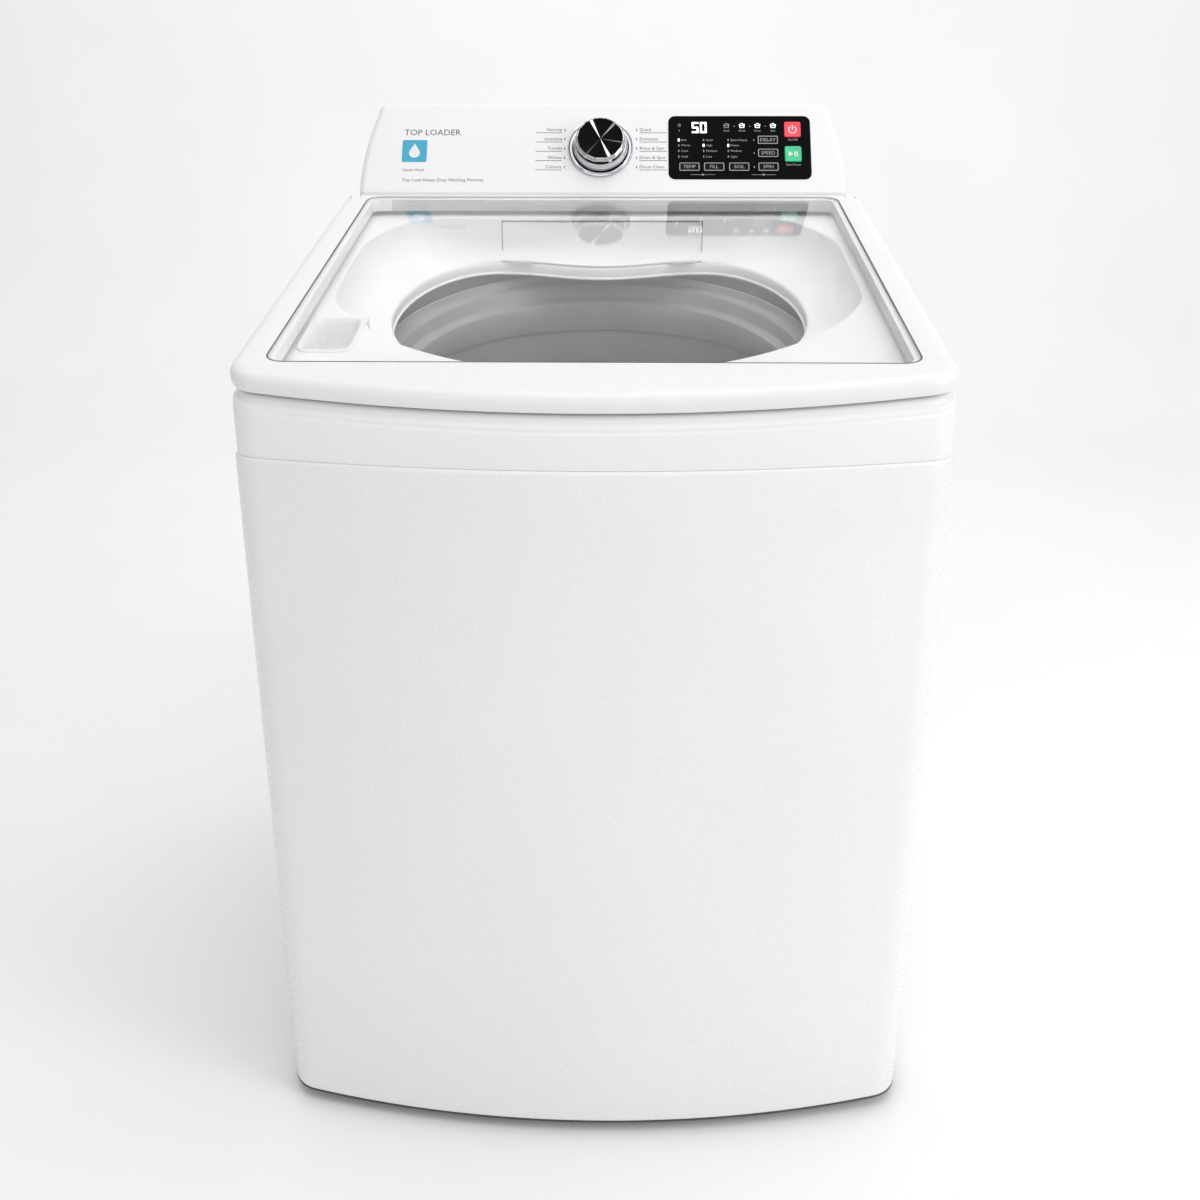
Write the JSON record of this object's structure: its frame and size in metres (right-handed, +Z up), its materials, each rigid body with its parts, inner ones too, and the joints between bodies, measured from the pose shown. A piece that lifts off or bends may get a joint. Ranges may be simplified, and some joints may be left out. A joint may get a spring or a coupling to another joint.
{
  "type": "top load washing machine",
  "caption": "Top load washing machine with a sloping glass lid, raised control console, suspended tub, perforated drum and belt-driven impeller.",
  "frame": {"origin": "centre of the footprint's bounding box, on the floor under the feet", "axes": "+Z up, +Y to the back (console side), +X to the user's right facing the front"},
  "size_m": [0.675, 0.74, 1.051],
  "materials": {
    "cabinet_enamel": "white enamel, soft gloss",
    "white_plastic": "white moulded plastic, satin gloss",
    "panel_steel": "light grey coated sheet",
    "zinc_steel": "zinc plated",
    "base_plastic": "dark grey, fine grain",
    "foot_plastic": "black, moulded",
    "lid_glass": "clear, polished",
    "black_glass": "black, high gloss",
    "key_black": "black, satin",
    "power_red": "red, gloss",
    "start_green": "green, gloss",
    "chrome": "polished",
    "knob_black": "black, spun",
    "board_green": "circuit board",
    "hot_inlet": "red plastic",
    "cold_inlet": "blue plastic",
    "hose_rubber": "black rubber",
    "bumper_rubber": "grey rubber",
    "grey_plastic": "grey",
    "tub_plastic": "light grey filled polypropylene",
    "ring_plastic": "grey",
    "drum_steel": "perforated stainless sheet",
    "drum_plastic": "grey",
    "cast_drive": "cast",
    "motor_paint": "dark grey",
    "lock_orange": "orange plastic"
  },
  "bodies": {
    "cabinet": {"cabinet_shell": "cabinet_enamel", "rear_panel": "panel_steel", "base_frame": "base_plastic", "corner_brackets": "zinc_steel", "suspension_rods": "zinc_steel", "top_cover": "white_plastic", "bleach_cup": "white_plastic", "console_front": "white_plastic", "console_rear_cover": "white_plastic", "control_glass": "black_glass", "knob_bezel": "chrome", "knob_encoder": "grey_plastic", "control_board": "board_green", "power_board": "board_green", "hot_inlet_valve": "hot_inlet", "cold_inlet_valve": "cold_inlet", "dispenser_housing": "white_plastic", "drain_pump": "base_plastic", "drain_outlet": "base_plastic", "mains_gland": "foot_plastic", "lid_lock": "grey_plastic", "lid_bumpers": "bumper_rubber", "cover_screws": "zinc_steel"},
    "lid": {"lid_frame": "white_plastic", "lid_glass": "lid_glass", "hinge_pins": "zinc_steel", "lid_striker": "zinc_steel"},
    "knob": {"knob_skirt": "chrome", "knob_cap": "knob_black"},
    "drawer": {"detergent_drawer": "white_plastic"},
    "lock_bolt": {"lock_bolt": "lock_orange"},
    "tub": {"outer_tub": "tub_plastic", "tub_ring": "ring_plastic", "motor": "motor_paint", "drive_housing": "cast_drive", "shaft_bearings": "zinc_steel", "suspension_springs": "zinc_steel", "drive_belt": "hose_rubber", "drain_hose": "hose_rubber"},
    "drum": {"drum": "drum_steel", "drum_base": "drum_plastic", "balance_ring": "ring_plastic", "spin_shaft": "zinc_steel", "lint_filters": "drum_plastic"},
    "impeller": {"impeller": "drum_plastic", "drive_shaft": "zinc_steel", "main_pulley": "cast_drive"},
    "motor_rotor": {"motor_pulley": "cast_drive"},
    "foot_front_left": {"foot_front_left": "foot_plastic"},
    "foot_front_right": {"foot_front_right": "foot_plastic"},
    "foot_rear_left": {"foot_rear_left": "foot_plastic"},
    "foot_rear_right": {"foot_rear_right": "foot_plastic"},
    "temp_key": {"temp_key": "key_black"},
    "fill_key": {"fill_key": "key_black"},
    "soil_key": {"soil_key": "key_black"},
    "spin_key": {"spin_key": "key_black"},
    "speed_key": {"speed_key": "key_black"},
    "delay_key": {"delay_key": "key_black"},
    "power_button": {"power_button": "power_red"},
    "start_button": {"start_button": "start_green"}
  },
  "joints": [
    {"name": "lid_hinge", "type": "hinge", "parent": "cabinet", "child": "lid", "pos_m": [0, 0.256, 0.92893], "axis": [-1, 0, 0], "range_deg": [0, 98]},
    {"name": "knob_spin", "type": "hinge", "parent": "cabinet", "child": "knob", "pos_m": [-0.003, 0.30435, 0.99587], "axis": [0, -0.829, 0.5592], "continuous": true},
    {"name": "temp_key_press", "type": "slide", "parent": "cabinet", "child": "temp_key", "axis": [0, 0.829, -0.5592], "range_m": [0, 0.001], "stiffness_N_per_m": 900, "springref_m": -0.0005},
    {"name": "fill_key_press", "type": "slide", "parent": "cabinet", "child": "fill_key", "axis": [0, 0.829, -0.5592], "range_m": [0, 0.001], "stiffness_N_per_m": 900, "springref_m": -0.0005},
    {"name": "soil_key_press", "type": "slide", "parent": "cabinet", "child": "soil_key", "axis": [0, 0.829, -0.5592], "range_m": [0, 0.001], "stiffness_N_per_m": 900, "springref_m": -0.0005},
    {"name": "spin_key_press", "type": "slide", "parent": "cabinet", "child": "spin_key", "axis": [0, 0.829, -0.5592], "range_m": [0, 0.001], "stiffness_N_per_m": 900, "springref_m": -0.0005},
    {"name": "speed_key_press", "type": "slide", "parent": "cabinet", "child": "speed_key", "axis": [0, 0.829, -0.5592], "range_m": [0, 0.001], "stiffness_N_per_m": 900, "springref_m": -0.0005},
    {"name": "delay_key_press", "type": "slide", "parent": "cabinet", "child": "delay_key", "axis": [0, 0.829, -0.5592], "range_m": [0, 0.001], "stiffness_N_per_m": 900, "springref_m": -0.0005},
    {"name": "power_button_press", "type": "slide", "parent": "cabinet", "child": "power_button", "axis": [0, 0.829, -0.5592], "range_m": [0, 0.001], "stiffness_N_per_m": 900, "springref_m": -0.0005},
    {"name": "start_button_press", "type": "slide", "parent": "cabinet", "child": "start_button", "axis": [0, 0.829, -0.5592], "range_m": [0, 0.001], "stiffness_N_per_m": 900, "springref_m": -0.0005},
    {"name": "drawer_slide", "type": "slide", "parent": "cabinet", "child": "drawer", "axis": [0, -1, 0], "range_m": [0, 0.085]},
    {"name": "lock_bolt_slide", "type": "slide", "parent": "cabinet", "child": "lock_bolt", "axis": [1, 0, 0], "range_m": [0, 0.005], "stiffness_N_per_m": 150, "springref_m": -0.002},
    {"name": "foot_front_left_screw", "type": "slide", "parent": "cabinet", "child": "foot_front_left", "axis": [0, 0, -1], "range_m": [0, 0.012]},
    {"name": "foot_front_right_screw", "type": "slide", "parent": "cabinet", "child": "foot_front_right", "axis": [0, 0, -1], "range_m": [0, 0.012]},
    {"name": "foot_rear_left_screw", "type": "slide", "parent": "cabinet", "child": "foot_rear_left", "axis": [0, 0, -1], "range_m": [0, 0.012]},
    {"name": "foot_rear_right_screw", "type": "slide", "parent": "cabinet", "child": "foot_rear_right", "axis": [0, 0, -1], "range_m": [0, 0.012]},
    {"name": "tub_bounce", "type": "slide", "parent": "cabinet", "child": "tub", "axis": [0, 0, 1], "range_m": [-0.03, 0.012], "stiffness_N_per_m": 16000, "springref_m": 0.02, "deforming": ["suspension_springs", "drain_hose"]},
    {"name": "drum_spin", "type": "hinge", "parent": "tub", "child": "drum", "pos_m": [0, 0.017, 0.3], "axis": [0, 0, 1], "continuous": true},
    {"name": "impeller_spin", "type": "hinge", "parent": "tub", "child": "impeller", "pos_m": [0, 0.017, 0.3], "axis": [0, 0, 1], "continuous": true},
    {"name": "motor_spin", "type": "hinge", "parent": "tub", "child": "motor_rotor", "pos_m": [-0.165, -0.095, 0.1], "axis": [0, 0, 1], "continuous": true}
  ],
  "couplings": [
    {"joint": "motor_spin", "follows": "impeller_spin", "ratio": 4.375}
  ]
}
